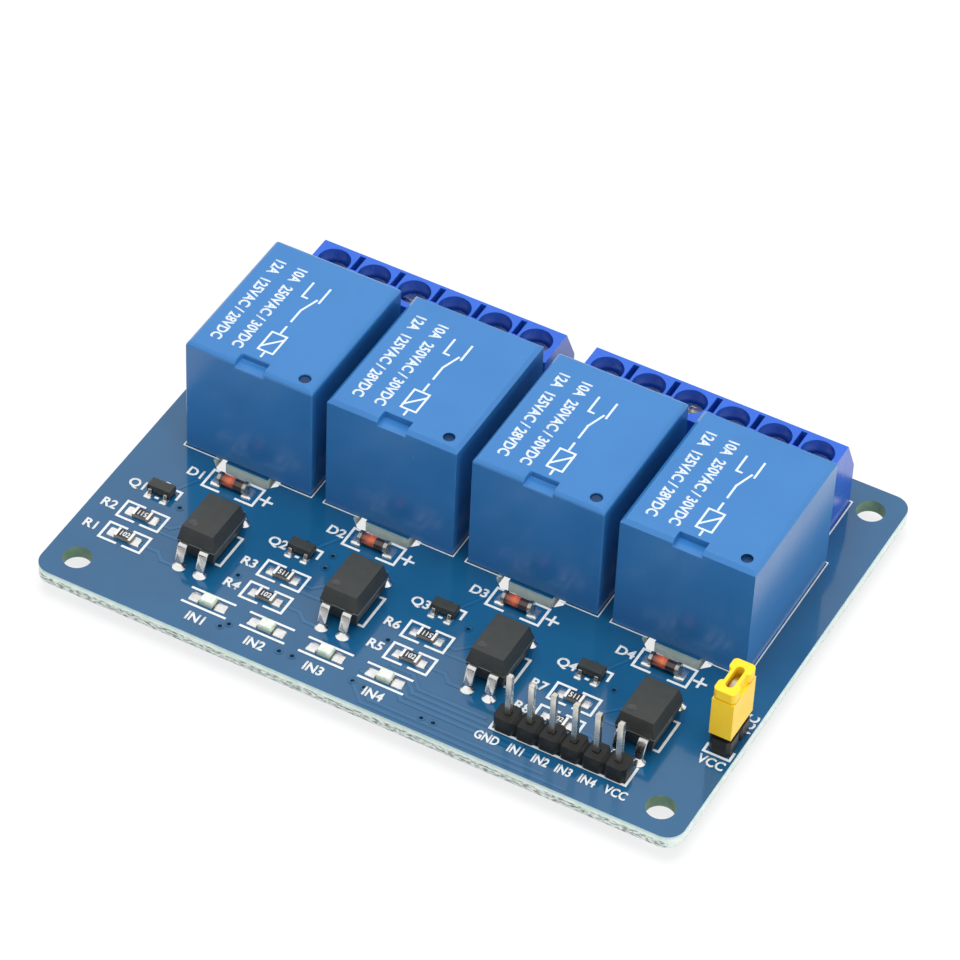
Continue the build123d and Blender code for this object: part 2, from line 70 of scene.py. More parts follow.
def pick(*pieces):
    """Selects these pieces and nothing else, the first one active."""
    bpy.ops.object.select_all(action="DESELECT")
    for piece in pieces:
        piece.select_set(True)
    bpy.context.view_layer.objects.active = pieces[0]


def merged_copy(node, name, whole_faces=True):
    """A copy of a CAD node with its loose triangles joined, into whole faces if wanted."""
    piece = bpy.data.objects.new(name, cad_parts[node].data.copy())
    bpy.context.scene.collection.objects.link(piece)
    piece.data.materials.clear()
    pick(piece)
    bpy.ops.mesh.customdata_custom_splitnormals_clear()
    bpy.ops.object.mode_set(mode="EDIT")
    bpy.ops.mesh.select_all(action="SELECT")
    bpy.ops.mesh.remove_doubles(threshold=weld_distance)
    if whole_faces:
        bpy.ops.mesh.dissolve_limited(angle_limit=math.radians(1))
    bpy.ops.object.mode_set(mode="OBJECT")
    return piece


def shade(angle):
    """Shades the selected piece smooth, but for edges sharper than an angle in degrees."""
    bpy.ops.object.shade_smooth_by_angle(angle=math.radians(angle))


def coat(piece, *materials):
    """Gives a piece its materials, before its faces are numbered by them."""
    for material in materials:
        piece.data.materials.append(material)


def settle(piece, body, slot, *nodes):
    """A finished piece rides on its body and stands for the nodes it covers; its slot is not used.
    """
    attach(piece, body)
    if nodes:
        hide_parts(*nodes)


def add_node(tree, kind, inputs=None, **settings):
    """A shader node with its settings, and its inputs set to values or linked to sockets."""
    made = tree.nodes.new(kind)
    for key, value in settings.items():
        setattr(made, key, value)
    for key, value in (inputs or {}).items():
        if isinstance(value, bpy.types.NodeSocket):
            tree.links.new(value, made.inputs[key])
        else:
            made.inputs[key].default_value = value
    return made


def maths(tree, operation, first, second):
    """The outcome of an operation on two sockets or values, as a socket."""
    inputs = {0: first, 1: second}
    return add_node(tree, "ShaderNodeMath", inputs, operation=operation).outputs[0]


def blended(tree, share, first, second):
    """A colour that goes from the first to the second by a share, as a socket."""
    inputs = {0: share, 6: first, 7: second}
    return add_node(tree, "ShaderNodeMix", inputs, data_type="RGBA").outputs[2]


def noise(tree, place, scale, detail):
    """Fine or coarse noise over a place, as a socket."""
    inputs = {"Vector": place, "Scale": scale, "Detail": detail}
    return add_node(tree, "ShaderNodeTexNoise", inputs).outputs["Fac"]


def ranged(tree, value, low, high, to_low=0.0, to_high=1.0):
    """A value's place between two ends, carried over to two others, as a socket."""
    inputs = {"Value": value, "From Min": low, "From Max": high, "To Min": to_low,
              "To Max": to_high}
    return add_node(tree, "ShaderNodeMapRange", inputs).outputs["Result"]


grain = bpy.data.node_groups.new("surface_grain", "ShaderNodeTree")
for socket in ("Colour", "Worn Colour"):
    grain.interface.new_socket(socket, in_out="INPUT", socket_type="NodeSocketColor")
for socket in ("Patch Scale", "Grain Scale", "Grain Depth", "Smoothest", "Roughest"):
    grain.interface.new_socket(socket, in_out="INPUT", socket_type="NodeSocketFloat")
grain.interface.new_socket("Colour", in_out="OUTPUT", socket_type="NodeSocketColor")
grain.interface.new_socket("Roughness", in_out="OUTPUT", socket_type="NodeSocketFloat")
grain.interface.new_socket("Normal", in_out="OUTPUT", socket_type="NodeSocketVector")
given = add_node(grain, "NodeGroupInput").outputs
place = add_node(grain, "ShaderNodeTexCoord").outputs["Object"]
patches = noise(grain, place, given["Patch Scale"], 4.0)
spread = ranged(grain, patches, *patch_ends)
tint = blended(grain, spread, given["Colour"], given["Worn Colour"])
speckle = noise(grain, place, given["Grain Scale"], 2.0)
sheen = ranged(grain, patches, *patch_ends, given["Smoothest"], given["Roughest"])
relief = add_node(grain, "ShaderNodeBump",
                  {"Strength": given["Grain Depth"], "Distance": grain_height, "Height": speckle})
add_node(grain, "NodeGroupOutput",
         {"Colour": tint, "Roughness": sheen, "Normal": relief.outputs["Normal"]})


def finish(name, colour, worn, patch, speck, depth, rough, **sockets):
    """A material with patchy colour and gloss and a fine grain; the rest goes on its shader."""
    material = bpy.data.materials.new(name)
    material.use_nodes = True
    tree = material.node_tree
    values = {"Colour": (*colour, 1), "Worn Colour": (*worn, 1), "Patch Scale": patch,
              "Grain Scale": speck, "Grain Depth": depth, "Smoothest": rough[0],
              "Roughest": rough[1]}
    look = add_node(tree, "ShaderNodeGroup", values, node_tree=grain, name="grain")
    shader = tree.nodes["Principled BSDF"]
    tree.links.new(look.outputs["Colour"], shader.inputs["Base Color"])
    tree.links.new(look.outputs["Roughness"], shader.inputs["Roughness"])
    tree.links.new(look.outputs["Normal"], shader.inputs["Normal"])
    for key, value in sockets.items():
        shader.inputs[key.replace("_", " ")].default_value = value
    return material


def mask(name, blue, other_blue, patch):
    """Glossy solder mask in two blues, in patches of a scale."""
    return finish(name, blue, other_blue, patch, 2600, 0.05, (0.10, 0.16), Coat_Weight=0.6,
                  Coat_Roughness=0.05)


solder_mask = mask("blue_solder_mask", mask_blue, mask_blue_thin, 160)
laminate = finish("laminate_edge", laminate_pale, laminate_green, 900, 5000, 0.5, (0.55, 0.75),
                  Subsurface_Weight=0.6, Subsurface_Radius=(1, 1, 1), Subsurface_Scale=1.5 * mm)
tree = laminate.node_tree
place = add_node(tree, "ShaderNodeTexCoord").outputs["Object"]
axes = add_node(tree, "ShaderNodeSeparateXYZ", {0: place}).outputs
low_half = maths(tree, "LESS_THAN", axes["Z"], board_bottom + snapped_height)
front_part = maths(tree, "LESS_THAN", axes["Y"], board_low.y + snapped_depth)
stretched = add_node(tree, "ShaderNodeMapping", {"Vector": place, "Scale": (1, 1, 3)})
torn = noise(tree, stretched.outputs["Vector"], 1500, 5.0)
snapped = maths(tree, "MULTIPLY", low_half, front_part)
snapped_bits = maths(tree, "MULTIPLY", snapped, ranged(tree, torn, *torn_ends))
stain = ranged(tree, axes["Z"], board_top - stain_depth, board_top, to_high=stain_strength)
stained_colour = blended(tree, stain, tree.nodes["grain"].outputs["Colour"],
                         (*laminate_stained, 1))
edge_colour = blended(tree, snapped_bits, stained_colour, (*snapped_grey, 1))
tree.links.new(edge_colour, tree.nodes["Principled BSDF"].inputs["Base Color"])
drilled_wall = finish("drilled_wall", drilled_green, drilled_olive, 700, 5000, 0.4, (0.45, 0.6))

board = merged_copy("circuit_board", "board_laminate", whole_faces=False)
coat(board, solder_mask, laminate, drilled_wall)
screw_hole = Vector((board_high.x - screw_hole_inset, board_high.y - screw_hole_inset))
for face in board.data.polygons:
    from_hole = Vector((abs(face.center.x), abs(face.center.y))) - screw_hole
    if abs(face.normal.z) < flat_from:
        face.material_index = 2 if from_hole.length < screw_hole_reach else 1
shade(30)
settle(board, "board", "solder_mask_board", "circuit_board")

# Copper tracks
# Etched copper runs under the solder mask join the header, the lamps and the optocouplers. The
# mask flows over them, so each shows as a low ridge of a slightly different blue.
channel_pitch = 17.27
channel_shift = 0.16
channels = [channel_shift + channel_pitch * (n - 1.5) for n in range(4)]
pin_pitch = 2.54
track_width, track_rim = 0.42, 0.16
track_height = 0.012 * mm
layer_step = 0.002 * mm
route_step = 0.0004 * mm
track_light = (0.010, 0.112, 0.250)
track_dark = (0.008, 0.098, 0.225)
rim_light = (0.0035, 0.050, 0.130)
rim_dark = (0.004, 0.060, 0.150)
channel_routes = (((-4.3, -15.9), (-2.6, -15.9), (-1.4, -14.7), (0.2, -13.1), (0.2, -11.2)),
                  ((-3.9, -19.5), (-1.9, -19.5), (-0.9, -20.4), (1.1, -20.4)),
                  ((-5.2, -10.6), (-4.4, -9.2), (-3.3, -7.3), (-2.4, -7.3)),
                  ((-4.3, -16.9), (-0.6, -16.9)))
input_route = ((1.6, -21.3), (4.2, -21.3), (5.7, -22.8), (13.4, -22.8))
input_steps = ((-0.75, -0.75), (-0.3, -0.75), (-0.3, -0.75), (pin_pitch, -0.75))
supply_routes = (((1.0, -25.7), (1.9, -26.6), (22.0, -26.6)),
                 ((-0.5, -25.5), (1.35, -27.35), (25.0, -27.35)))


def shifted(points, x, y=0.0):
    """Flat points moved along by x and y."""
    return [(x + across, y + up) for across, up in points]


def stroke(start, end, width, height):
    """One flat line from start to end in millimetres, as a plane laid on a height."""
    run = Vector(end) - Vector(start)
    middle = (Vector(start) + Vector(end)) / 2 * mm
    bpy.ops.mesh.primitive_plane_add(size=1, location=(middle.x, middle.y, height),
                                     rotation=(0, 0, math.atan2(run.y, run.x)))
    line = bpy.context.object
    line.scale = ((run.length + width) * mm, width * mm, 1)
    return line


def path(points, width, height):
    """A run of flat lines through points, each a hair above the one before, so none coincide."""
    return [stroke(a, b, width, height + layer_step * n)
            for n, (a, b) in enumerate(zip(points, points[1:]))]


def join(pieces, name):
    """Pieces joined into one, with its place, turn and size in its mesh."""
    pick(*pieces)
    if len(pieces) > 1:
        bpy.ops.object.join()
    piece = bpy.context.object
    piece.name = name
    bpy.ops.object.transform_apply(location=True, rotation=True, scale=True)
    return piece


def open_faces(piece):
    """Opens a piece for editing, with all its faces selected."""
    pick(piece)
    bpy.ops.object.mode_set(mode="EDIT")
    bpy.ops.mesh.select_mode(type="FACE")
    bpy.ops.mesh.select_all(action="SELECT")


def draw_up(height):
    """Extrudes the selected faces straight up."""
    bpy.ops.mesh.extrude_region_move(TRANSFORM_OT_translate={"value": (0, 0, height)})


def close_faces():
    """Turns all faces of the open piece outwards and closes it."""
    bpy.ops.mesh.select_all(action="SELECT")
    bpy.ops.mesh.normals_make_consistent(inside=False)
    bpy.ops.object.mode_set(mode="OBJECT")


def raise_flat(piece, thickness):
    """Gives flat pieces a thickness, upwards, or downwards if negative."""
    open_faces(piece)
    draw_up(thickness)
    close_faces()
    return piece


def lay_tracks(routes, level, thickness, steps, rim_name, run_name):
    """Copper runs on a level and wider rims under them, each route a hair off its neighbours."""
    for name, extra, lift, material in ((rim_name, track_rim, 0, edge_mask),
                                        (run_name, 0, thickness, track_mask)):
        lines = []
        for n, (width, points) in enumerate(routes):
            lines += path(points, width + extra, level + lift + route_step * (n % steps))
        tracks = raise_flat(join(lines, name), thickness)
        coat(tracks, material)
        settle(tracks, "board", "solder_mask_board")


edge_mask = mask("mask_at_track_edge", rim_light, rim_dark, 90)
track_mask = mask("mask_over_copper", track_light, track_dark, 90)
routes = [shifted(points, x) for x in channels for points in channel_routes]
for n in range(4):
    routes.append([(x + across * n, y + up * n)
                   for (x, y), (across, up) in zip(input_route, input_steps)])
routes += supply_routes
lay_tracks([(track_width, route) for route in routes], board_top, track_height, 5, "track_rims",
           "copper_tracks")

# Vias
# Small plated holes take tracks to the other side of the board. Each is a ring of copper under the
# mask with a dimple in its middle, whose nearly black colour is painted shade for the open hole.
via_radius, via_rise = 0.47, 0.045
via_steps = ((0.06, 0.0), (0.14, -0.01), (0.03, -0.03))
via_hole_reach, via_rim_reach = 0.05, 0.39
via_light, via_dark = (0.010, 0.105, 0.235), (0.006, 0.075, 0.185)
via_shade_dark, via_shade_blue = (0.0012, 0.016, 0.034), (0.002, 0.024, 0.05)
via_places = ((-18.66, -18.15), (-16.48, -25.45), (-15.83, -24.73), (-9.42, -25.41),
              (-7.9, -25.34), (-11.34, -12.61), (-29.04, -12.75), (-11.5, -10.65), (7.8, -26.14),
              (9.19, -26.13), (-0.5, -18.31), (22.97, -12.64), (5.9, -12.7), (-0.8, -25.2),
              (0.7, -25.4), (16.2, -18.3))


def set_out(pattern, places, name):
    """Copies of a piece made at the origin, one at each place and size, joined into one."""
    copies = []
    for spot, size in places:
        copy = pattern.copy()
        copy.data = pattern.data.copy()
        bpy.context.scene.collection.objects.link(copy)
        copy.location = spot
        copy.scale = size
        copies.append(copy)
    bpy.data.objects.remove(pattern)
    return join(copies, name)


bpy.ops.mesh.primitive_circle_add(vertices=20, radius=via_radius * mm, fill_type="NGON")
via = bpy.context.object
open_faces(via)
draw_up(via_rise * mm)
for inset, rise in via_steps:
    bpy.ops.mesh.inset(thickness=inset * mm, depth=rise * mm)
close_faces()
via_ring = mask("mask_over_via", via_light, via_dark, 700)
# the middle of each via is painted shade: a nearly black blue stands for the dark inside of the
# hole
painted_via_shade = finish("painted_via_shade", via_shade_dark, via_shade_blue, 900, 2600, 0.1, (0.5, 0.7),
                  Specular_IOR_Level=0.1)
via_rim = mask("mask_at_via_edge", rim_light, rim_dark, 700)
coat(via, via_ring, painted_via_shade, via_rim)
for face in via.data.polygons:
    reach = face.center.xy.length / mm
    on_rim = len(face.vertices) == 4 and reach > via_rim_reach
    face.material_index = 1 if reach < via_hole_reach else 2 if on_rim else 0
vias = set_out(via, [((x * mm, y * mm, board_top), (1, 1, 1)) for x, y in via_places], "vias")
shade(40)
settle(vias, "board", "solder_mask_board")

# Board print
# White ink screened onto the mask: an outline round each part, its plain part number, and the
# names of the pins beside the header. The ink stands a few hundredths of a millimetre proud.
ink_height = 0.02 * mm
ink_level = board_top + 0.03 * mm
ink_line, case_line, block_line = 0.29, 0.14, 0.16
ink_spread = 0.03
label_size, pin_label_size = 1.72, 1.62
diode_y = -7.27
opto_shift, opto_y = 2.385, -15.7
transistor_shift, transistor_y = -6.2, -11.7
resistor_shift = -6.0
resistor_rows = (-15.88, -19.5)
resistor_numbers = (("R2", "R3", "R6", "R7"), ("R1", "R4", "R5", "R8"))
lamp_x, lamp_pitch, lamp_y = -19.2, 7.05, -23.2
diode_outline = (6.2, 2.7, 2.2)
resistor_outline = (5.03, 2.45, 0.95)
opto_outline = (4.86, 4.6, 3.86)
transistor_marks = (((1.25, 0.95), (1.95, 0.95), (1.95, -0.2)), ((-1.2, 1.15), (-0.7, 1.15)),
                    ((-0.05, 1.15), (0.45, 1.15)), ((-0.1, -1.05), (0.1, -1.05)))
plus_shift, plus_reach = 4.1, 0.65
case_margin, slot_gap = 0.16, 3.6
lamp_reach, lamp_margin, lamp_label_y = 2.55, 1.09, -25.85
block_margin, block_end = 0.2, 0.25
diode_label, resistor_label, transistor_label = -4.5, -4.1, -8.95
label_drop, transistor_label_drop = 0.1, 0.25
lamp_label_wide, pin_label_wide, jumper_label_wide = 0.9, 0.76, 0.85
header_left, header_right = ((-1.45, 1.45), (-1.45, -1.2)), ((1.45, -1.2), (1.45, 1.45))
jumper_outline = ((-1.5, -1.7), (-1.5, -2.8), (1.45, -2.8), (1.45, -1.7))
jumper_labels = ((-0.05, -3.95), (1.05, 2.7))
pin_names = (("GND", -1.05), ("IN1", -0.2), ("IN2", 0.05), ("IN3", 0.2), ("IN4", 0.35),
             ("VCC", 1.05))
pin_label_y = -25.2


def label(words, x, y, height, turn=0.0, size=label_size, wide=1.0):
    """Printed letters as flat faces, centred on a place in millimetres."""
    bpy.ops.object.text_add(location=(x * mm, y * mm, height), rotation=(0, 0, turn))
    letters = bpy.context.object
    text = letters.data
    text.body = words
    text.size = size * mm
    text.align_x = text.align_y = "CENTER"
    text.resolution_u = 3
    text.offset = ink_spread * size * mm
    letters.scale = (wide, 1, 1)
    pick(letters)
    bpy.ops.object.convert(target="MESH")
    return letters


ink = []


def print_line(*points, width=ink_line, lift=0.0):
    """Prints a run of lines through points on the board."""
    ink.extend(path(points, width, ink_level + lift))


def print_words(words, x, y, **style):
    """Prints words on the board, centred on a place."""
    ink.append(label(words, x, y, ink_level, **style))


def print_brackets(x, y, length, width, gap):
    """Prints two facing square brackets round a part."""
    for side in (-1, 1):
        inner, outer = x + side * gap / 2, x + side * length / 2
        print_line((inner, y - width / 2), (outer, y - width / 2), (outer, y + width / 2),
                   (inner, y + width / 2))


for n, x in enumerate(channels):
    print_brackets(x, diode_y, *diode_outline)
    plus_x = x + plus_shift
    print_line((plus_x - plus_reach, diode_y), (plus_x + plus_reach, diode_y))
    print_line((plus_x, diode_y - plus_reach), (plus_x, diode_y + plus_reach), lift=layer_step)
    print_words(f"D{n + 1}", x + diode_label, diode_y - label_drop)
    for row, numbers in zip(resistor_rows, resistor_numbers):
        print_brackets(x + resistor_shift, row, *resistor_outline)
        print_words(numbers[n], x + resistor_shift + resistor_label, row - label_drop)
    for mark in transistor_marks:
        print_line(*shifted(mark, x + transistor_shift, transistor_y))
    print_words(f"Q{n + 1}", x + transistor_label, transistor_y - transistor_label_drop)
    print_brackets(x + opto_shift, opto_y, *opto_outline)
    low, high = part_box(f"relay_cover_{n + 1}")
    left, front = (side / mm - case_margin for side in low.xy)
    right, back = (side / mm + case_margin for side in high.xy)
    print_line((left, front), (x - slot_gap, front), width=case_line)
    print_line((x + slot_gap, front), (right, front), (right, back), (left, back), (left, front),
               width=case_line)
for n in range(4):
    x = lamp_x + lamp_pitch * n
    for y in (lamp_y - lamp_margin, lamp_y + lamp_margin):
        print_line((x - lamp_reach, y), (x + lamp_reach, y))
    print_words(f"IN{n + 1}", x, lamp_label_y, wide=lamp_label_wide)
low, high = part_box("input_header_base")
header_y = (low.y + high.y) / 2 / mm
first_pin = (low.x + high.x) / 2 / mm - 2.5 * pin_pitch
last_pin = first_pin + 5 * pin_pitch
for n, (words, nudge) in enumerate(pin_names):
    print_words(words, first_pin + pin_pitch * n + nudge, pin_label_y, size=pin_label_size,
                wide=pin_label_wide)
print_line(*shifted(header_left, first_pin, header_y), *shifted(header_right, last_pin, header_y))
low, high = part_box("jumper_header_base")
jumper_x = (low.x + high.x) / 2 / mm
jumper_y = (low.y + high.y) / 2 / mm
print_line(*shifted(jumper_outline, jumper_x, jumper_y))
front_spot, back_spot = shifted(jumper_labels, jumper_x, jumper_y)
print_words("VCC", *front_spot, wide=jumper_label_wide)
print_words("VCC", *back_spot, turn=math.pi / 2, wide=jumper_label_wide)
for name in ("terminal_block_left", "terminal_block_right"):
    low, high = (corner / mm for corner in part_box(name))
    left, front = low.x - block_margin, low.y - block_margin
    right, back = high.x + block_end, high.y + block_margin
    print_line((left, front), (right, front), (right, back), (left, back), (left, front),
               width=block_line)
board_print = raise_flat(join(ink, "board_print"), ink_height)
white_ink = finish("white_ink", (0.80, 0.82, 0.82), (0.66, 0.69, 0.71), 2500, 6000, 0.15,
                   (0.45, 0.6))
coat(board_print, white_ink)
settle(board_print, "board", "solder_mask_board")

# Diodes
# A small glass tube with the chip inside and a plated cap fused on each end, soldered flat on the
# board. The dark band marks one end. The amber is painted lighter round the chip and darker towards
# the ends, as painted light through the glass and painted shade.
cap_length = 0.42
band_place = (0.28, 1.15)
glass_inset, glass_lip = 0.09, 0.02
shaded_end = 0.3
chip_place, glow_reach = -0.25, 1.05
amber_bright, amber_deep = (0.86, 0.17, 0.05), (0.46, 0.06, 0.018)
amber_painted_shade = (0.04, 0.008, 0.004)


def solids(node):
    """Lowest and highest corner of each separate solid of a CAD node, from left to right."""
    pick(merged_copy(node, node + "_apart"))
    bpy.ops.mesh.separate(type="LOOSE")
    boxes = []
    for piece in list(bpy.context.selected_objects):
        axes = list(zip(*(vertex.co for vertex in piece.data.vertices)))
        boxes.append((Vector([min(axis) for axis in axes]), Vector([max(axis) for axis in axes])))
        bpy.data.objects.remove(piece)
    return sorted(boxes, key=lambda box: (round(box[0].x / mm, 1), box[0].y))


def score(piece, *places):
    """Cuts a line right round a piece at each place along x."""
    open_faces(piece)
    for place in places:
        bpy.ops.mesh.select_all(action="SELECT")
        bpy.ops.mesh.bisect(plane_co=(place, 0, 0), plane_no=(1, 0, 0))
    bpy.ops.object.mode_set(mode="OBJECT")


def choose_faces(piece, test):
    """Opens a piece for editing, with only the faces selected that pass a test."""
    pick(piece)
    for item in (*piece.data.vertices, *piece.data.edges):
        item.select = False
    for face in piece.data.polygons:
        face.select = test(face)
    bpy.ops.object.mode_set(mode="EDIT")
    bpy.ops.mesh.select_mode(type="FACE")


def rod(sides, radius, length, middle, turn=(0, 0, 0)):
    """A plain rod round a middle, ready to be shaped or to carve with."""
    bpy.ops.object.select_all(action="DESELECT")
    bpy.ops.mesh.primitive_cylinder_add(vertices=sides, radius=radius, depth=length,
                                        location=middle, rotation=turn)
    return bpy.context.object


def bevel_edges(piece, width, segments, angle=35):
    """Rounds a piece's edges that are sharper than an angle, by a width in millimetres."""
    pick(piece)
    edge = piece.modifiers.new("soft edges", "BEVEL")
    edge.width = width * mm
    edge.segments = segments
    edge.limit_method = "ANGLE"
    edge.angle_limit = math.radians(angle)
    bpy.ops.object.modifier_apply(modifier=edge.name)


cap_metal = finish("dull_cap", (0.56, 0.56, 0.51), (0.30, 0.30, 0.26), 1500, 5000, 0.2,
                   (0.18, 0.32), Metallic=1.0)
amber_glass = finish("amber_glass", amber_bright, amber_deep, 900, 4000, 0.02, (0.06, 0.12),
                     Coat_Weight=1.0, Coat_Roughness=0.03)
tree = amber_glass.node_tree
# painted light and shade: the glass colour runs from a dark amber at the ends to full amber at the
# chip
painted_glow_share = add_node(tree, "ShaderNodeAttribute", attribute_name="painted_glow").outputs["Fac"]
amber = blended(tree, painted_glow_share, (*amber_painted_shade, 1), tree.nodes["grain"].outputs["Colour"])
tree.links.new(amber, tree.nodes["Principled BSDF"].inputs["Base Color"])
band_paint = finish("dark_band", (0.040, 0.012, 0.006), (0.010, 0.005, 0.004), 1600, 4000,
                    0.05, (0.08, 0.16), Coat_Weight=1.0, Coat_Roughness=0.03)

diode_boxes = solids("diodes")
low, high = diode_boxes[0]
diode_length = high.x - low.x
tube = rod(32, (high.z - low.z) / 2, diode_length, (0, 0, 0), turn=(0, math.pi / 2, 0))
diode = join([tube], "diode")
coat(diode, cap_metal, amber_glass, band_paint)
band_from, band_to = (place * mm for place in band_place)
cap_at = diode_length / 2 - cap_length * mm
score(diode, -cap_at, -cap_at + shaded_end * mm, chip_place * mm, band_from, band_to, cap_at)
for face in diode.data.polygons:
    where = face.center.x
    face.material_index = 0 if abs(where) > cap_at else 2 if band_from < where < band_to else 1
choose_faces(diode, lambda face: face.material_index > 0)
bpy.ops.mesh.inset(thickness=glass_lip * mm, depth=-glass_inset * mm)
bpy.ops.object.mode_set(mode="OBJECT")
bevel_edges(diode, 0.09, 3, angle=40)
shade(40)
# a painted glow share, one at the chip and falling to nothing towards the ends
painted_glow = diode.data.attributes.new("painted_glow", "FLOAT", "POINT")
for vertex, value in zip(diode.data.vertices, painted_glow.data):
    value.value = max(0.0, 1 - abs(vertex.co.x / mm - chip_place) / glow_reach)
diodes = set_out(diode, [((low + high) / 2, (1, 1, 1)) for low, high in diode_boxes],
                 "diode_glass")
settle(diodes, "board", "amber_glass", "diodes")

# Resistors
# Thick-film chips: a slip of grey ceramic with a black glaze over the resistive film, a plain value
# code printed on the glaze, and tinned metal wrapped round both ends.
end_metal = 0.3
glaze_inset, glaze_lip = 0.05, 0.01
code_height, code_size = 0.012 * mm, 0.95


def block(size, middle):
    """A plain block of a size round a middle, ready to be shaped."""
    bpy.ops.object.select_all(action="DESELECT")
    bpy.ops.mesh.primitive_cube_add(size=1, location=middle)
    bpy.context.object.scale = size
    return join([bpy.context.object], "block")


def standing(boxes):
    """Places at full size, each on the middle of a box's underside."""
    return [(((low.x + high.x) / 2, (low.y + high.y) / 2, low.z), (1, 1, 1))
            for low, high in boxes]


ceramic = finish("fired_ceramic", (0.36, 0.34, 0.30), (0.22, 0.21, 0.185), 1200, 6000, 0.2,
                 (0.5, 0.65))
glaze = finish("black_glaze", (0.020, 0.020, 0.021), (0.034, 0.034, 0.034), 1500, 6000,
               0.12, (0.25, 0.4))
end_silver = finish("end_silver", (0.86, 0.86, 0.84), (0.74, 0.74, 0.72), 1400, 6000, 0.15,
                    (0.4, 0.55))
resistor_boxes = solids("resistors")
low, high = resistor_boxes[0]
chip = high - low
resistor = block(chip, (0, 0, chip.z / 2))
coat(resistor, end_silver, ceramic, glaze)
metal_from = chip.x / 2 - end_metal * mm
score(resistor, -metal_from, metal_from)
for face in resistor.data.polygons:
    in_middle = abs(face.center.x) < metal_from
    face.material_index = 1 if face.normal.z <= flat_from else 2 if in_middle else 0
choose_faces(resistor, lambda face: abs(face.center.x) < metal_from)
bpy.ops.mesh.inset(thickness=glaze_lip * mm, depth=-glaze_inset * mm)
bpy.ops.object.mode_set(mode="OBJECT")
bevel_edges(resistor, 0.05, 2)
shade(40)
resistors = set_out(resistor, standing(resistor_boxes), "resistor_chips")
settle(resistors, "board", "chip_ceramic", "resistors")
codes = []
for n, (low, high) in enumerate(resistor_boxes):
    middle = (low + high) / 2 / mm
    upper_row = middle.y > sum(resistor_rows) / 2
    turned = math.pi if upper_row and n // 2 % 2 == 0 else 0.0
    codes.append(label("511" if upper_row else "102", middle.x, middle.y,
                       high.z - glaze_inset * mm, turn=turned, size=code_size, wide=0.85))
value_codes = raise_flat(join(codes, "resistor_codes"), code_height)
coat(value_codes, white_ink)
settle(value_codes, "board", "chip_ceramic")

# Transistors
# Small black epoxy mouldings with three formed tin-plated leads each, soldered flat on the board.
# They switch the relay coils.


def round_edges(piece, width, segments=2):
    """Rounds a piece's sharp edges by a width in millimetres and keeps its flat faces flat."""
    bevel_edges(piece, width, segments)
    shade(50)
    even = piece.modifiers.new("flat faces", "WEIGHTED_NORMAL")
    even.keep_sharp = True
    bpy.ops.object.modifier_apply(modifier=even.name)


def softened(node, name, width, segments=2):
    """A merged copy of a CAD node with its edges rounded."""
    piece = merged_copy(node, name)
    round_edges(piece, width, segments)
    return piece


def dress(node, name, width, material, body, slot, segments=2):
    """A softened copy in one material that rides on a body and stands for its CAD node."""
    piece = softened(node, name, width, segments)
    coat(piece, material)
    settle(piece, body, slot, node)


tinned = finish("bright_tin", (0.86, 0.86, 0.85), (0.68, 0.68, 0.67), 900, 5000, 0.12,
                (0.16, 0.30), Metallic=1.0)
black_epoxy = finish("black_epoxy", (0.028, 0.0315, 0.0290), (0.036, 0.040, 0.037), 900,
                     7000, 0.55, (0.38, 0.5))
dress("transistors", "transistor_bodies", 0.05, black_epoxy, "board", "black_moulding")
dress("transistor_leads", "transistor_legs", 0.03, tinned, "board", "tinned_metal")

# Indicator lamps
# Surface-mounted light-emitting diodes: a slip of laminate with plated ends, each end cut by half
# of a plated hole, and a clear resin lens cast on top. Each shows that its channel is switched on.
lens_length, lens_slope = 1.7, 0.12
lamp_base_height = 0.2
plated_from = 0.78
half_hole, drill_length = 0.3, 2


def carve(piece, tool, name):
    """Cuts a tool's shape out of a piece and puts the tool away."""
    pick(piece)
    cut = piece.modifiers.new(name, "BOOLEAN")
    cut.operation = "DIFFERENCE"
    cut.object = tool
    bpy.ops.object.modifier_apply(modifier=cut.name)
    bpy.data.objects.remove(tool)


lens_resin = finish("clear_lens", (0.84, 0.89, 0.80), (0.58, 0.70, 0.56), 2200, 5000, 0.05,
                    (0.10, 0.20), Coat_Weight=0.6, Subsurface_Weight=0.6,
                    Subsurface_Radius=(1, 1, 1), Subsurface_Scale=0.6 * mm)
lamp_laminate = finish("lamp_laminate", (0.62, 0.70, 0.58), (0.44, 0.54, 0.42), 1200, 5000,
                       0.2, (0.35, 0.5))
dull_plating = finish("dull_plating", (0.30, 0.29, 0.26), (0.16, 0.155, 0.14), 1500, 5000,
                      0.2, (0.3, 0.45), Metallic=1.0)
lamp_boxes = solids("indicator_lamps")
low, high = lamp_boxes[0]
lamp = (high - low) / mm
lamp_slip = block((lamp.x * mm, lamp.y * mm, lamp_base_height * mm),
                  (0, 0, lamp_base_height / 2 * mm))
coat(lamp_slip, lamp_laminate, dull_plating)
score(lamp_slip, -plated_from * mm, plated_from * mm)
for side in (-1, 1):
    drill = rod(24, half_hole * mm, drill_length * mm, (side * lamp.x / 2 * mm, 0, 0))
    carve(lamp_slip, drill, "half hole")
for face in lamp_slip.data.polygons:
    face.material_index = 1 if abs(face.center.x) > plated_from * mm else 0
lens_height = lamp.z - lamp_base_height
lens = block((lens_length * mm, lamp.y * mm, lens_height * mm),
             (0, 0, (lamp_base_height + lens_height / 2) * mm))
coat(lens, lens_resin)
choose_faces(lens, lambda face: face.normal.z > flat_from)
bpy.ops.transform.resize(value=(1 - 2 * lens_slope / lens_length, 1, 1))
bpy.ops.object.mode_set(mode="OBJECT")
round_edges(lens, 0.12, 3)
lamps = set_out(join([lamp_slip, lens], "lamp"), standing(lamp_boxes), "lamp_bodies")
settle(lamps, "board", "clear_resin", "indicator_lamps")

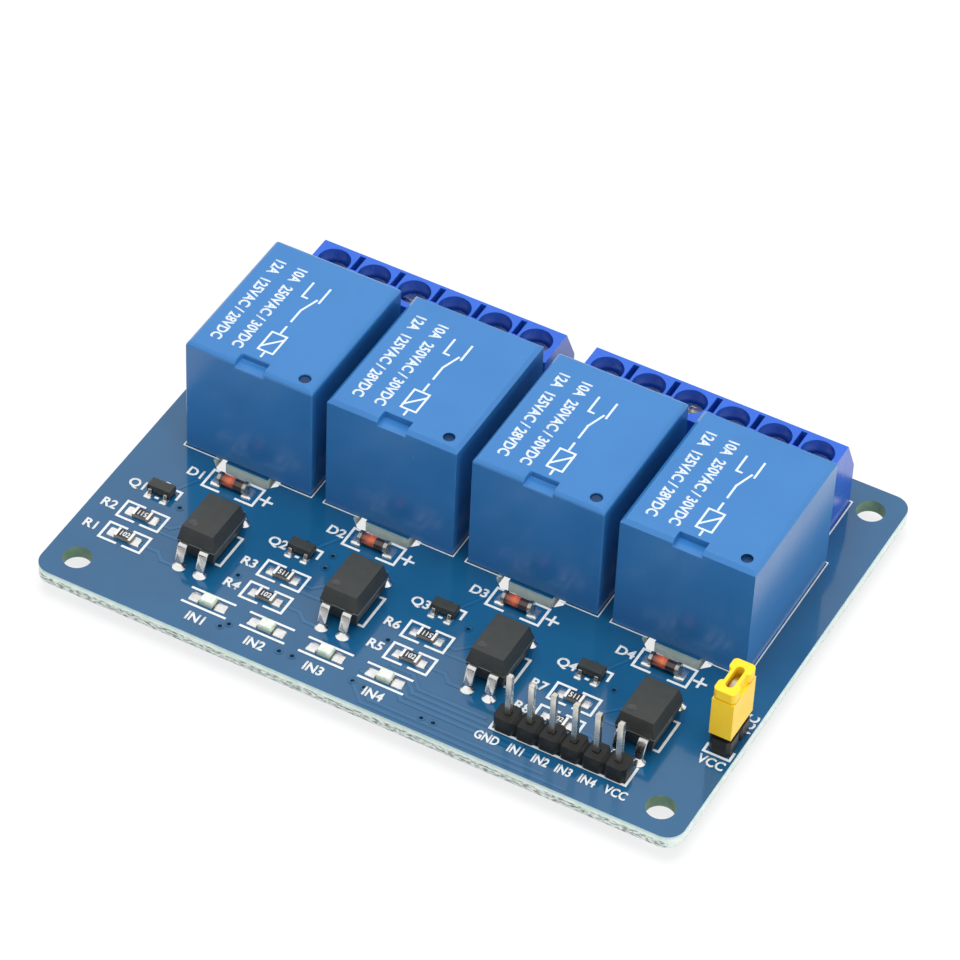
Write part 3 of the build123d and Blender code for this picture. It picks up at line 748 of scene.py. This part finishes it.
# Optocouplers
# Four-pin black epoxy mouldings with drafted sides and a parting line, and a dimple on top that
# marks the first pin. Their splayed tin-plated leads go through the board and are soldered in it.
dimple_radius = 0.5
dimple_depth = 0.09
dimple_from_left, dimple_from_front = 1.2, 1.3
ball_radius = (dimple_radius ** 2 + dimple_depth ** 2) / (2 * dimple_depth)
parting_width = 0.055
hair = 0.0001 * mm
# a painted highlight: the thin band round the parting line is light grey, as the light catches that
# edge
painted_parting_highlight = finish("painted_parting_highlight", (0.40, 0.41, 0.40), (0.14, 0.145, 0.14), 900, 7000,
                       0.4, (0.35, 0.5))
dimple_face = finish("moulded_dimple", (0.038, 0.042, 0.041), (0.048, 0.052, 0.051), 900,
                     7000, 0.2, (0.22, 0.32))
for n in range(4):
    node = f"optocoupler_{n + 1}"
    body = merged_copy(node, f"optocoupler_body_{n + 1}")
    coat(body, black_epoxy, painted_parting_highlight, dimple_face)
    low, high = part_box(node)
    bpy.ops.object.select_all(action="DESELECT")
    bpy.ops.mesh.primitive_uv_sphere_add(
        segments=64, ring_count=96, radius=ball_radius * mm,
        location=(low.x + dimple_from_left * mm, low.y + dimple_from_front * mm,
                  high.z + (ball_radius - dimple_depth) * mm))
    carve(body, bpy.context.object, "first pin dimple")
    for face in body.data.polygons:
        if high.z - (dimple_depth + 0.001) * mm < face.center.z < high.z - hair:
            face.material_index = 2
    parting = (low.z + high.z) / 2
    bpy.ops.object.mode_set(mode="EDIT")
    bpy.ops.mesh.select_mode(type="EDGE")
    bpy.ops.mesh.select_all(action="DESELECT")
    bpy.ops.object.mode_set(mode="OBJECT")
    for edge in body.data.edges:
        ends = [body.data.vertices[i].co.z for i in edge.vertices]
        edge.select = all(abs(z - parting) < 100 * hair for z in ends)
    bpy.ops.object.mode_set(mode="EDIT")
    # the band bevelled round the parting line takes the painted highlight
    bpy.ops.mesh.bevel(offset=parting_width * mm, segments=1, affect="EDGES", material=1)
    bpy.ops.object.mode_set(mode="OBJECT")
    round_edges(body, 0.06)
    settle(body, "board", "black_moulding", node)
dress("optocoupler_leads", "optocoupler_legs", 0.11, tinned, "board", "tinned_metal", segments=3)

# Solder on the board
# Bright solder wicks up round every foot and chip end and sets as a smooth concave fillet.
# Below the board it stands as a small cone round each pin that comes through.
cone_profile = ((0.0, 1.0), (0.12, 0.93), (0.35, 0.72), (0.62, 0.52), (0.88, 0.36), (1.0, 0.18))
mound_profile = ((0.0, 1.0), (0.25, 0.985), (0.55, 0.93), (0.8, 0.83), (0.95, 0.66), (1.0, 0.4))
lead_blob = (0.78, 0.74, 0.58)
foot_pad, foot_gap = (0.45, 0.55, 0.16), 0.7
foot_below, foot_above = 0.01 * mm, 0.1 * mm
pad_corner = 0.4
tail_cone, tail_gap = (1.0, 1.0, -1.1), 1.3
tail_from = 0.4 * mm


def set_solder(profile, square):
    """Solder one unit wide and high, drawn up step by step from a disc or a rounded square."""
    bpy.ops.object.select_all(action="DESELECT")
    if square:
        bpy.ops.mesh.primitive_plane_add(size=2)
    else:
        bpy.ops.mesh.primitive_circle_add(vertices=20, radius=1, fill_type="NGON")
    shape = bpy.context.object
    open_faces(shape)
    if square:
        bpy.ops.mesh.bevel(offset=pad_corner, segments=4, affect="VERTICES")
        bpy.ops.mesh.select_all(action="SELECT")
    for (low, wide), (high, narrow) in zip(profile, profile[1:]):
        draw_up(high - low)
        bpy.ops.transform.resize(value=(narrow / wide, narrow / wide, 1),
                                 center_override=(0, 0, high))
    close_faces()
    shade(60)
    return shape


def feet(node, low, high, apart):
    """The middle of each group of a node's corners between two heights, as flat places."""
    groups = []
    corners = [vertex.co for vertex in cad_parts[node].data.vertices]
    for spot in [corner.xy for corner in corners if low < corner.z < high]:
        near = [group for group in groups if (group[0] - spot).length < apart * mm]
        if near:
            near[0].append(spot)
        else:
            groups.append([spot])
    return [Vector([(min(axis) + max(axis)) / 2 for axis in zip(*group)]) for group in groups]


def tails(node):
    """The places where a node's pins come out below the board."""
    return feet(node, -1, board_bottom - tail_from, tail_gap)


def solder_at(places, level, size):
    """Places for solder of a size in millimetres at a level."""
    return [((spot.x, spot.y, level), [side * mm for side in size]) for spot in places]


blobs = solder_at(tails("optocoupler_leads"), board_top, lead_blob)
lead_feet = feet("transistor_leads", board_top - foot_below, board_top + foot_above, foot_gap)
pads = solder_at(lead_feet, board_top, foot_pad)
for boxes, past_end, size in ((resistor_boxes, 0.42, (0.58, 0.66, 0.24)),
                              (diode_boxes, 0.15, (0.62, 0.85, 0.3)),
                              (lamp_boxes, 0.5, (0.72, 0.68, 0.2))):
    for low, high in boxes:
        ends = [Vector((x, (low.y + high.y) / 2))
                for x in (low.x - past_end * mm, high.x + past_end * mm)]
        pads += solder_at(ends, board_top, size)
below = []
for node in ("relay_closed_contacts", "relay_open_contacts", "relay_common_pins",
             "relay_coil_pins", "terminal_pins", "input_header_pins", "jumper_header_pins",
             "optocoupler_leads"):
    below += solder_at(tails(node), board_bottom, tail_cone)
solder = finish("set_solder", (0.96, 0.96, 0.95), (0.84, 0.84, 0.83), 1300, 3500, 0.3,
                (0.16, 0.34), Metallic=1.0)
for profile, square, places, name in ((cone_profile, False, blobs, "solder_blobs"),
                                      (mound_profile, True, pads, "solder_pads"),
                                      (cone_profile, False, below, "solder_below")):
    drops = set_out(set_solder(profile, square), places, name)
    open_faces(drops)
    close_faces()
    coat(drops, solder)
    settle(drops, "board", "tinned_metal")

# Load tracks
# Wide copper runs under the board carry the switched current from each relay's contacts to its
# three terminals, and a narrower one feeds the coils. The same mask lies over them.
load_width, supply_width = 2.4, 1.2
contact_y, common_y, coil_y = 12.5, -1.7, 0.3
side_bend_y, middle_bend_y = 15.2, 14.6
terminal_y, supply_y = 18.0, -8.6
supply_end = ((34.5, supply_y), (36.2, -11.4))
outer_pin = 6.0
ways = sorted(spot.x / mm for spot in tails("terminal_pins"))
below_routes = []
for n, x in enumerate(channels):
    left, middle, right = ways[3 * n:3 * n + 3]
    left_pin, right_pin = x - outer_pin, x + outer_pin
    below_routes += [
        (load_width, [(left_pin, contact_y), (left_pin, side_bend_y), (left, terminal_y)]),
        (load_width, [(x, common_y), (x, middle_bend_y), (middle, terminal_y)]),
        (load_width, [(right_pin, contact_y), (right_pin, side_bend_y), (right, terminal_y)]),
        (supply_width, [(left_pin, coil_y), (left_pin, supply_y)])]
below_routes.append((supply_width, [(channels[0] - outer_pin, supply_y), *supply_end]))
lay_tracks(below_routes, board_bottom, -track_height, 7, "load_track_rims", "load_tracks")

# Relay insides
# Under each cover a copper coil on a black bobbin stands in a steel yoke on a base moulding. It
# pulls a steel armature, whose contact moves from the closed contact to the open one.
inside_edge = 0.04
copper = finish("copper_winding", (0.55, 0.19, 0.06), (0.42, 0.12, 0.035), 700, 9000, 0.5,
                (0.28, 0.4), Metallic=1.0)
soft_iron = finish("plated_iron", (0.48, 0.48, 0.47), (0.36, 0.36, 0.35), 700, 5000, 0.2,
                   (0.3, 0.45), Metallic=1.0)
contact_metal = finish("contact_alloy", (0.72, 0.66, 0.52), (0.58, 0.50, 0.36), 700, 5000,
                       0.15, (0.22, 0.36), Metallic=1.0)
base_moulding = finish("relay_base_moulding", (0.018, 0.018, 0.019), (0.03, 0.03, 0.03),
                       500, 5000, 0.3, (0.4, 0.55))
insides = (("relay_bases", "relay_feet", base_moulding, "relay_base"),
           ("relay_yokes", "relay_frames", soft_iron, "soft_iron"),
           ("relay_closed_contacts", "closed_contact_blades", contact_metal, "contact_alloy"),
           ("relay_open_contacts", "open_contact_blades", contact_metal, "contact_alloy"),
           ("relay_common_pins", "common_pin_blades", tinned, "tinned_metal"),
           ("relay_coil_pins", "coil_pin_posts", tinned, "tinned_metal"))
for node, name, material, slot in insides:
    dress(node, name, inside_edge, material, "board", slot)
coils = softened("relay_coils", "relay_windings", inside_edge)
coat(coils, base_moulding, copper)
low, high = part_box("relay_coils")
for face in coils.data.polygons:
    off_middle = abs(face.center.z - (low.z + high.z) / 2)
    face.material_index = 1 if off_middle < (high.z - low.z) / 4 else 0
settle(coils, "board", "copper_winding", "relay_coils")
for n in range(1, 5):
    dress(f"relay_armature_{n}", f"armature_plate_{n}", inside_edge, soft_iron, f"armature_{n}",
          "soft_iron")

# Relay covers
# A thin-walled blue thermoplastic shell, moulded with a chamfered rim, a mould notch at the front
# of the roof and a vent dimple, and pressed over the relay's base. The ratings are white print.
case_blue, case_blue_deep = (0.034, 0.185, 0.470), (0.028, 0.168, 0.440)
print_skin = 0.016 * mm
print_depth = 0.03 * mm
vent_from_side, vent_from_front, vent_radius = 1.8, 1.6, 0.65
vent_top, vent_floor = 0.2 * mm, 1 * mm
rating_rows = (("10A  250VAC / 30VDC", -2.8), ("12A  125VAC / 28VDC", -5.45))
rating_size, row_length, row_middle = 1.75, 14.0, 9.2
diagram_line = 0.24
contact_diagram = (((-0.6, 3.0), (1.2, 3.0), (1.2, 6.0), (-0.6, 6.0), (-0.6, 3.0)),
                   ((-0.6, 3.5), (1.2, 5.5)), ((0.3, 2.1), (0.3, 2.7)), ((0.3, 6.3), (0.3, 7.4)),
                   ((0.3, 8.4), (0.3, 10.4), (1.0, 12.6)), ((1.4, 14.8), (1.4, 12.4)),
                   ((-0.7, 14.8), (-0.7, 12.4), (-0.1, 12.4)))
relay_case = finish("relay_case", case_blue, case_blue_deep, 120, 4200, 0.08, (0.20, 0.28),
                    Coat_Weight=0.15, Coat_Roughness=0.15)
# the vent dimple's floor and walls are a darker blue: partly the thin skin with the dark inside
# behind it, partly painted shade in the dimple
vent_shade_and_thin_skin = finish("vent_shade_and_thin_skin", (0.004, 0.030, 0.095), (0.007, 0.050, 0.150), 900, 4200,
                   0.15, (0.3, 0.4))
relay_ink = finish("relay_ink", (0.72, 0.79, 0.86), (0.60, 0.70, 0.82), 2600, 6000, 0.15,
                   (0.45, 0.6))
for n, x in enumerate(channels):
    node = f"relay_cover_{n + 1}"
    low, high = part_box(node)
    front = low.y / mm
    roof = high.z - print_depth
    cover = merged_copy(node, f"relay_case_{n + 1}")
    for vertex in cover.data.vertices:
        vertex.co.z = min(vertex.co.z, roof)
    coat(cover, relay_case, vent_shade_and_thin_skin)
    round_edges(cover, 0.2, 3)
    vent = Vector((high.x - vent_from_side * mm, low.y + vent_from_front * mm))
    # faces inside the vent dimple take the darker blue, partly painted shade
    for face in cover.data.polygons:
        in_vent = (face.center.xy - vent).length < vent_radius * mm
        at_depth = roof - vent_floor < face.center.z < roof - vent_top
        face.material_index = 1 if in_vent and at_depth else 0
    settle(cover, "board", "relay_case", node)
    marks = []
    for words, shift in rating_rows:
        row = label(words, x + shift, front + row_middle, roof, turn=-math.pi / 2,
                    size=rating_size)
        row.scale.x = row_length * mm / row.dimensions.x
        marks.append(row)
    for mark in contact_diagram:
        marks += path(shifted(mark, x, front), diagram_line, roof)
    relay_print = raise_flat(join(marks, f"relay_print_{n + 1}"), print_skin)
    coat(relay_print, relay_ink)
    settle(relay_print, "board", "relay_case")

# Terminal blocks
# Two bright blue polyamide mouldings with six ways each: a screw well on top, a wire entry behind
# and thin slots between ways. Pressed pins hold them in the board.
terminal_blue = finish("terminal_plastic", (0.020, 0.120, 0.61), (0.017, 0.108, 0.57), 140,
                       4000, 0.15, (0.22, 0.34), Coat_Weight=0.1)
for side in ("left", "right"):
    dress(f"terminal_block_{side}", f"terminal_moulding_{side}", 0.1, terminal_blue, "board",
          "terminal_plastic")
dress("terminal_pins", "terminal_bars", 0.04, tinned, "board", "tinned_metal")

# Clamp screws and cages
# Zinc-plated steel: a screw with a slot and a cross in its head turns in each well and draws up a
# folded cage, which clamps the wire against the terminal's bar.
zinc = finish("zinc_plate", (0.78, 0.78, 0.76), (0.60, 0.60, 0.58), 800, 4500, 0.2,
              (0.20, 0.34), Metallic=1.0)
cage_zinc = finish("cage_plate", (0.66, 0.65, 0.62), (0.50, 0.49, 0.46), 700, 4500, 0.2,
                   (0.26, 0.42), Metallic=1.0)
for way in (f"{n:02d}" for n in range(1, 13)):
    dress(f"terminal_screw_{way}", f"clamp_screw_{way}", 0.07, zinc, f"screw_{way}",
          "plated_steel")
    dress(f"terminal_cage_{way}", f"clamp_cage_{way}", 0.05, cage_zinc, f"cage_{way}",
          "plated_steel")

# Pin headers
# Square tin-plated pins pressed through a strip of black polyamide, one eight-sided block a pin
# with a groove to break it by, and soldered through the board. Six take the signals, two carry
# the jumper.
groove_depth, groove_length = 0.35, 4
black_strip = finish("header_moulding", (0.012, 0.0128, 0.0122), (0.018, 0.0188, 0.018),
                     500, 5000, 0.35, (0.34, 0.46), Specular_IOR_Level=0.32)
warm_tin = finish("warm_tin", (0.80, 0.77, 0.68), (0.66, 0.63, 0.56), 900, 5000, 0.12,
                  (0.2, 0.34), Metallic=1.0)
strip_breaks = {"input": [(first_pin + pin_pitch * (n + 0.5), header_y, 0.0) for n in range(5)],
                "jumper": [(jumper_x, jumper_y, math.pi / 2)]}
for which, breaks in strip_breaks.items():
    node = f"{which}_header_base"
    strip = merged_copy(node, f"{which}_header_strip")
    coat(strip, black_strip)
    strip_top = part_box(node)[1].z
    for x, y, turn in breaks:
        cutter = rod(4, groove_depth * mm, groove_length * mm, (x * mm, y * mm, strip_top),
                     turn=(math.pi / 2, 0, turn))
        carve(strip, cutter, "break groove")
    round_edges(strip, 0.07)
    settle(strip, "board", "black_moulding", node)
    dress(f"{which}_header_pins", f"{which}_pin_row", 0.06, warm_tin, "board", "tinned_metal")

# Jumper
# A yellow moulded cap with two rounded lobes and a keyhole opening, round a folded spring clip that
# grips both pins. It pulls straight off.
tongue_size, tongue_below_top, tongue_rise = (0.7, 2.6, 0.15), 1.15, 0.3
cap_yellow = finish("yellow_cap", (1.0, 0.70, 0.030), (1.0, 0.65, 0.024), 400, 4500, 0.05,
                    (0.30, 0.42), Specular_IOR_Level=0.4)
dress("jumper_cap", "jumper_shell", 0.26, cap_yellow, "jumper", "yellow_moulding", segments=4)
clip = softened("jumper_clip", "jumper_spring", 0.04)
coat(clip, contact_metal)
low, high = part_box("jumper_cap")
tongue_foot = Vector(((low.x + high.x) / 2, (low.y + high.y) / 2,
                      high.z - tongue_below_top * mm))
tongue = block([side * mm for side in tongue_size], tongue_foot)
coat(tongue, contact_metal)
open_faces(tongue)
bpy.ops.mesh.bisect(plane_co=tongue_foot, plane_no=(0, 1, 0))
bpy.ops.transform.translate(value=(0, 0, tongue_rise * mm))
bpy.ops.object.mode_set(mode="OBJECT")
round_edges(tongue, 0.03)
clip = join([clip, tongue], "jumper_spring")
settle(clip, "jumper", "contact_alloy", "jumper_clip")

# Studio
# A white floor under the board, a white surround and two soft lamps, a dark panel in front that
# gives the bright metal its contrast, and the camera at the photograph's angle.
floor_size, floor_glow = 6, 0.79
floor_shaded, floor_seen = (0.7, 0.7, 0.7), (0.2, 0.2, 0.2)
surround_light, surround_seen = 0.55, 1.0
panel_size, panel_place = (1.6, 0.24, 1), (-0.1, -0.8, 0.12)
camera_place, camera_turn = (0.164886, -0.325770, 0.370350), (45.4724, -1.9582, 28.7705)


def seen_itself(tree):
    """One where the camera, a mirror or glass sees a surface, and nought where it only lights."""
    rays = add_node(tree, "ShaderNodeLightPath").outputs
    seen = maths(tree, "MAXIMUM", rays["Is Camera Ray"], rays["Is Glossy Ray"])
    return maths(tree, "MAXIMUM", seen, rays["Is Transmission Ray"])


scene = bpy.context.scene
scene.view_settings.view_transform = "Standard"
bpy.ops.object.select_all(action="DESELECT")
bpy.ops.mesh.primitive_plane_add(size=floor_size, location=(0, 0, 0))
floor = bpy.context.object
floor.name = "floor"
bpy.ops.object.mode_set(mode="EDIT")
bpy.ops.mesh.subdivide(number_cuts=1)
bpy.ops.object.mode_set(mode="OBJECT")
floor_white = bpy.data.materials.new("floor_white")
floor_white.use_nodes = True
tree = floor_white.node_tree
shader = tree.nodes["Principled BSDF"]
shader.inputs["Roughness"].default_value = 0.9
shader.inputs["Specular IOR Level"].default_value = 0.0
shader.inputs["Emission Color"].default_value = (1, 1, 1, 1)
seen = seen_itself(tree)
tree.links.new(maths(tree, "MULTIPLY", seen, floor_glow), shader.inputs["Emission Strength"])
floor_colour = blended(tree, seen, (*floor_shaded, 1), (*floor_seen, 1))
tree.links.new(floor_colour, shader.inputs["Base Color"])
coat(floor, floor_white)
bpy.ops.object.select_all(action="DESELECT")
bpy.ops.mesh.primitive_plane_add(size=1, location=panel_place, rotation=(math.pi / 2, 0, 0))
bpy.context.object.scale = panel_size
dark_panel = join([bpy.context.object], "dark_panel")
dark_panel.visible_camera = False
dark_panel.visible_diffuse = False
coat(dark_panel, finish("black_card", (0.02, 0.02, 0.02), (0.03, 0.03, 0.03), 20, 400, 0.1,
                        (0.7, 0.9)))

world = bpy.data.worlds.new("white_surround")
scene.world = world
world.use_nodes = True
tree = world.node_tree
strength = ranged(tree, seen_itself(tree), 0.0, 1.0, surround_light, surround_seen)
surround = tree.nodes["Background"]
surround.inputs["Color"].default_value = (1, 1, 1, 1)
tree.links.new(strength, surround.inputs["Strength"])


def softbox(name, watts, size, spot, aim):
    """A square soft lamp at a spot, turned to a point and not itself mirrored in the object."""
    light = bpy.data.lights.new(name, "AREA")
    light.energy = watts
    light.size = size
    light_object = bpy.data.objects.new(name, light)
    light_object.location = spot
    light_object.rotation_euler = (Vector(aim) - Vector(spot)).to_track_quat("-Z", "Y").to_euler()
    light_object.visible_glossy = False
    scene.collection.objects.link(light_object)


softbox("overhead_softbox", 4.3, 0.5, (-0.02, 0.02, 0.7), (0, 0, 0))
softbox("side_softbox", 1.6, 0.4, (0.72, -0.22, 0.32), (0, 0, 0.01))

camera = bpy.data.cameras.new("camera")
camera.lens = 183.2328
camera.sensor_width = 36
camera_object = bpy.data.objects.new("camera", camera)
camera_object.location = camera_place
camera_object.rotation_euler = [math.radians(turn) for turn in camera_turn]
scene.collection.objects.link(camera_object)
scene.camera = camera_object
